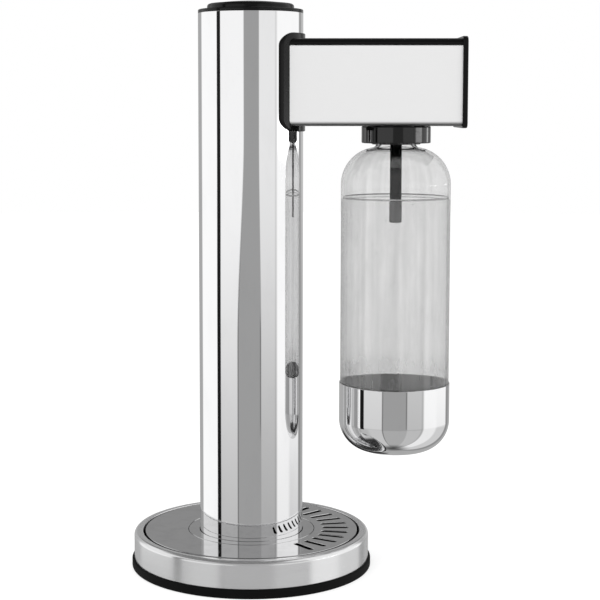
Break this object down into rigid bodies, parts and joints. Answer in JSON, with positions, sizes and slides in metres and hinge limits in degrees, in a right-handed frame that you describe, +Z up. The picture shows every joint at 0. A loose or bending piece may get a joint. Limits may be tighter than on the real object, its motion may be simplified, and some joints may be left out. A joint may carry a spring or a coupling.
{
  "type": "sparkling water maker",
  "caption": "Countertop sparkling water maker: round steel base, polished tower with a push button on top, and an arm holding a clear bottle under a carbonation nozzle.",
  "frame": {"origin": "on the table, on the tower's axis, at the centre of the foot ring's standing face", "axes": "+Z up along the tower; +X towards the arm and the bottle; -Y is the side that the picture shows"},
  "size_m": [0.2583, 0.1886, 0.4412],
  "materials": {
    "polished_steel": "mirror polished stainless steel",
    "brushed_steel": "fine brushed stainless steel",
    "zinc_steel": "plain zinc plated steel",
    "cast_weight": "raw casting",
    "black_rubber": "matt moulded rubber",
    "grey_rubber": "soft seal rubber",
    "gloss_black": "smooth gloss black moulding",
    "satin_black": "satin black moulding",
    "inner_plastic": "plain engineering plastic",
    "alloy": "machined aluminium",
    "cylinder_alloy": "lacquered aluminium",
    "brass": "machined brass",
    "hose": "flexible pressure hose",
    "clear_plastic": "clear bottle plastic"
  },
  "bodies": {
    "stand": {"tower_tube": "polished_steel", "drip_plate": "polished_steel", "tower_ring": "polished_steel", "base_shell": "brushed_steel", "arm_sleeve": "brushed_steel", "weight_screws": "zinc_steel", "tower_screws": "zinc_steel", "tower_flange": "zinc_steel", "block_screws": "zinc_steel", "arm_bolts": "zinc_steel", "head_screws": "zinc_steel", "lever_pin": "zinc_steel", "button_spring": "zinc_steel", "relief_spring": "zinc_steel", "counterweight": "cast_weight", "foot_ring": "black_rubber", "valve_gasket": "black_rubber", "pin_seal": "black_rubber", "bottle_seal": "grey_rubber", "button_bezel": "gloss_black", "arm_top_cover": "gloss_black", "arm_end_cap": "gloss_black", "arm_saddle": "gloss_black", "nozzle_tube": "gloss_black", "nozzle_tip": "gloss_black", "drip_tray": "satin_black", "base_frame": "inner_plastic", "cylinder_guide": "inner_plastic", "valve_carrier": "inner_plastic", "carbonation_head": "inner_plastic", "arm_frame": "alloy", "valve_block": "brass", "gland_nut": "brass", "hose_fittings": "brass", "hose_ferrules": "brass", "relief_body": "brass", "relief_cap": "brass", "gas_hose": "hose"},
    "button": {"carbonate_button": "gloss_black"},
    "lever": {"valve_lever": "alloy"},
    "pin": {"push_pin": "zinc_steel", "valve_pin": "zinc_steel"},
    "cylinder": {"gas_cylinder": "cylinder_alloy", "cylinder_valve": "brass"},
    "collar": {"bottle_collar": "gloss_black", "collar_clip": "zinc_steel"},
    "bottle": {"bottle": "clear_plastic", "bottle_cup": "polished_steel"},
    "relief": {"relief_poppet": "zinc_steel"}
  },
  "joints": [
    {"name": "button_press", "type": "slide", "parent": "stand", "child": "button", "axis": [0, 0, -1], "range_m": [0, 0.005], "stiffness_N_per_m": 1200, "springref_m": -0.006, "deforming": ["button_spring"]},
    {"name": "lever_rock", "type": "hinge", "parent": "stand", "child": "lever", "pos_m": [-0.0255, 0, 0.4045], "axis": [0, 1, 0], "range_deg": [0, 6.4]},
    {"name": "pin_push", "type": "slide", "parent": "stand", "child": "pin", "axis": [0, 0, -1], "range_m": [0, 0.0029]},
    {"name": "cylinder_turn", "type": "hinge", "parent": "stand", "child": "cylinder", "pos_m": [0, 0, 0.2], "axis": [0, 0, 1], "continuous": true},
    {"name": "collar_turn", "type": "hinge", "parent": "stand", "child": "collar", "pos_m": [0.1125, 0, 0.34], "axis": [0, 0, 1], "range_deg": [0, 60]},
    {"name": "bottle_drop", "type": "slide", "parent": "collar", "child": "bottle", "axis": [0, 0, -1], "range_m": [0, 0.055]},
    {"name": "relief_lift", "type": "slide", "parent": "stand", "child": "relief", "axis": [1, 0, 0], "range_m": [0, 0.002], "stiffness_N_per_m": 2000, "springref_m": -0.003, "deforming": ["relief_spring"]}
  ],
  "couplings": [
    {"joint": "lever_rock", "follows": "button_press", "rad_per_m": 21.978},
    {"joint": "pin_push", "follows": "button_press", "ratio": 0.56044}
  ]
}
